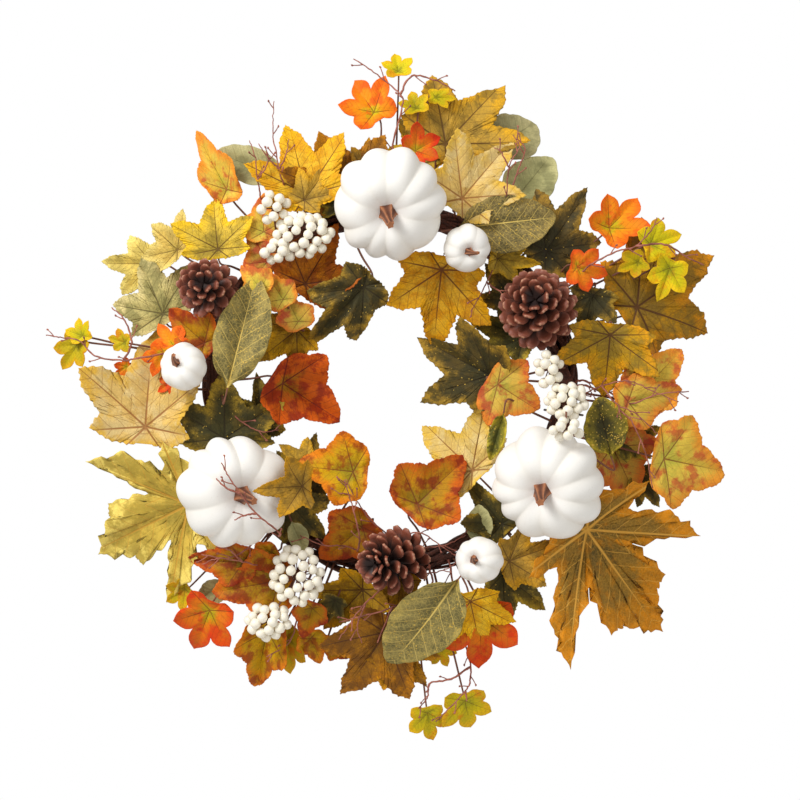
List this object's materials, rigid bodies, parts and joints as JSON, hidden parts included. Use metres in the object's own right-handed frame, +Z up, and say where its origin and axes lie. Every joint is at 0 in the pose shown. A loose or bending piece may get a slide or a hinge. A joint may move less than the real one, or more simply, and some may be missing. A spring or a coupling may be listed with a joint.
{
  "type": "harvest door wreath",
  "caption": "Round vine wreath for a door, covered with cloth autumn leaves, foam pumpkins, pinecones and berry sprigs; a wire loop at the back of the top hangs it on a hook.",
  "frame": {"origin": "centre of the vine ring, in the plane of the door that the wreath hangs against", "axes": "+Z up, +X to the right seen from the front, +Y into the door: the decorated front faces -Y"},
  "size_m": [0.597, 0.1317, 0.61],
  "materials": {
    "leaf_golden": "matte",
    "leaf_brown_gold": "matte",
    "leaf_orange_gold": "matte",
    "leaf_russet": "matte",
    "leaf_beige": "matte",
    "leaf_pale_yellow": "matte",
    "leaf_olive": "matte",
    "leaf_dark_green": "matte",
    "leaf_sage": "matte",
    "leaf_lobed_yellow": "matte",
    "leaf_lobed_dark": "matte",
    "leaf_grey_green": "matte",
    "leaf_magnolia": "matte",
    "leaf_mottled": "matte",
    "leaf_mottled_gold": "matte",
    "leaf_red": "matte",
    "leaf_curled": "matte",
    "leaf_speckled": "matte",
    "leaf_orange_ivy": "matte",
    "leaf_green_ivy": "matte",
    "foam_white": "matte",
    "stem_brown": "matte",
    "pick_wood": "matte",
    "cone_brown": "matte",
    "berry_cream": "satin",
    "wrapped_wire": "matte",
    "twig_brown": "matte",
    "vine_bark": "matte",
    "iron_wire": "satin"
  },
  "bodies": {
    "wreath": {"beige_maple_leaves": "leaf_beige", "berries_lower_left": "berry_cream", "berries_right": "berry_cream", "berries_upper_left": "berry_cream", "berry_stalks": "wrapped_wire", "binding_ties": "iron_wire", "brown_gold_maple_leaves": "leaf_brown_gold", "curled_leaf_right": "leaf_curled", "dark_green_leaves_left": "leaf_dark_green", "dark_green_leaves_right": "leaf_dark_green", "golden_maple_leaves": "leaf_golden", "green_ivy_leaves_bottom": "leaf_green_ivy", "green_ivy_leaves_left": "leaf_green_ivy", "green_ivy_leaves_right": "leaf_green_ivy", "green_ivy_leaves_top": "leaf_green_ivy", "grey_green_maple_leaf": "leaf_grey_green", "hole_leaves": "leaf_dark_green", "large_pumpkin_stems": "stem_brown", "leaf_stalks": "wrapped_wire", "lobed_leaf_left": "leaf_lobed_yellow", "lobed_leaf_right": "leaf_lobed_dark", "magnolia_leaf_bottom": "leaf_magnolia", "magnolia_leaf_left": "leaf_magnolia", "magnolia_leaf_top": "leaf_magnolia", "mottled_leaf_left": "leaf_mottled_gold", "mottled_leaves_hole": "leaf_mottled_gold", "mottled_leaves_lower_left": "leaf_mottled_gold", "mottled_leaves_right": "leaf_mottled", "mottled_leaves_top_left": "leaf_mottled", "olive_maple_leaves": "leaf_olive", "orange_gold_maple_leaf": "leaf_orange_gold", "orange_ivy_leaves_bottom": "leaf_orange_ivy", "orange_ivy_leaves_left": "leaf_orange_ivy", "orange_ivy_leaves_right": "leaf_orange_ivy", "orange_ivy_leaves_top": "leaf_orange_ivy", "pale_yellow_maple_leaves": "leaf_pale_yellow", "pinecone_bottom": "cone_brown", "pinecone_left": "cone_brown", "pinecone_right": "cone_brown", "pinecone_wires": "iron_wire", "pumpkin_left": "foam_white", "pumpkin_picks": "pick_wood", "pumpkin_right": "foam_white", "pumpkin_top": "foam_white", "red_leaf_inside": "leaf_red", "russet_maple_leaves": "leaf_russet", "sage_leaves": "leaf_sage", "small_mottled_leaves": "leaf_mottled_gold", "small_pumpkin_bottom": "foam_white", "small_pumpkin_left": "foam_white", "small_pumpkin_stems": "stem_brown", "small_pumpkin_top": "foam_white", "speckled_leaf_right": "leaf_speckled", "tendril_twigs": "twig_brown", "twig_pick_bottom": "twig_brown", "twig_pick_left": "twig_brown", "twig_pick_right": "twig_brown", "twig_pick_top": "twig_brown", "vine_canes": "vine_bark"},
    "loop": {"hanging_loop": "iron_wire"}
  },
  "joints": [
    {"name": "loop_swing", "type": "hinge", "parent": "wreath", "child": "loop", "pos_m": [0, -0.021, 0.155], "axis": [1, 0, 0], "range_deg": [-105, 0]}
  ]
}
